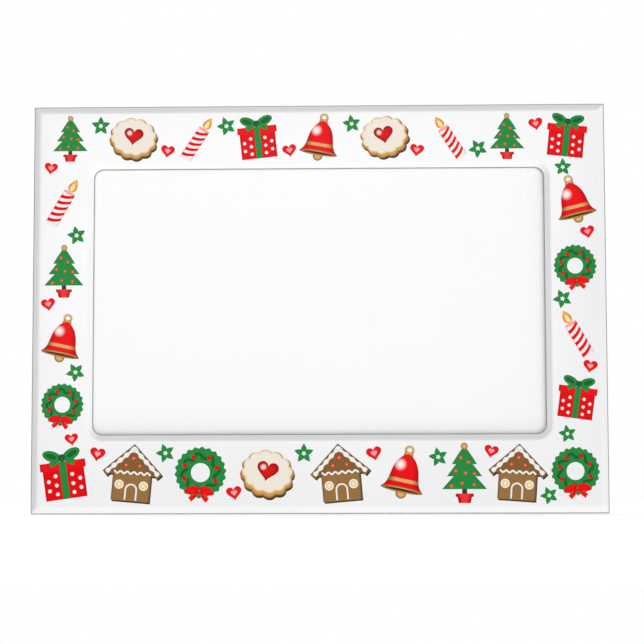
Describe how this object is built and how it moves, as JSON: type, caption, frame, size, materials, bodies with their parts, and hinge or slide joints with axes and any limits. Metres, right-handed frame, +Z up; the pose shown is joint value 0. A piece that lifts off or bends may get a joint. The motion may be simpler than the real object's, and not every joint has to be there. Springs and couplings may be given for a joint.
{
  "type": "magnetic photo frame",
  "caption": "Landscape magnetic photo frame: glossy white border with soft bevels, clear window pane, top-loading pocket for a print and a flexible magnet sheet on its back.",
  "frame": {"origin": "centre of the frame's outline, on the contact face of the magnet sheet", "axes": "+X to the right as the frame is looked at, +Z up, +Y out of the back into the steel it hangs on, so the printed face looks along -Y"},
  "size_m": [0.1778, 0.0061, 0.127],
  "materials": {
    "border_white": "gloss",
    "clear_pane": "clear gloss",
    "spacer_white": "satin",
    "panel_white": "satin",
    "adhesive_tape": "matt",
    "magnet_rubber": "matt",
    "print_paper": "satin",
    "backing_card": "matt"
  },
  "bodies": {
    "frame": {"front_border": "border_white", "window_pane": "clear_pane", "pane_tape": "adhesive_tape", "spacer_left": "spacer_white", "spacer_right": "spacer_white", "spacer_bottom": "spacer_white", "front_tape_left": "adhesive_tape", "front_tape_right": "adhesive_tape", "front_tape_bottom": "adhesive_tape", "rear_tape_left": "adhesive_tape", "rear_tape_right": "adhesive_tape", "rear_tape_bottom": "adhesive_tape", "back_panel": "panel_white", "magnet_tape": "adhesive_tape", "magnet_sheet": "magnet_rubber"},
    "photo_insert": {"photo_print": "print_paper", "photo_backing_card": "backing_card"}
  },
  "joints": [
    {"name": "photo_slide", "type": "slide", "parent": "frame", "child": "photo_insert", "axis": [0, 0, 1], "range_m": [0, 0.115]}
  ]
}
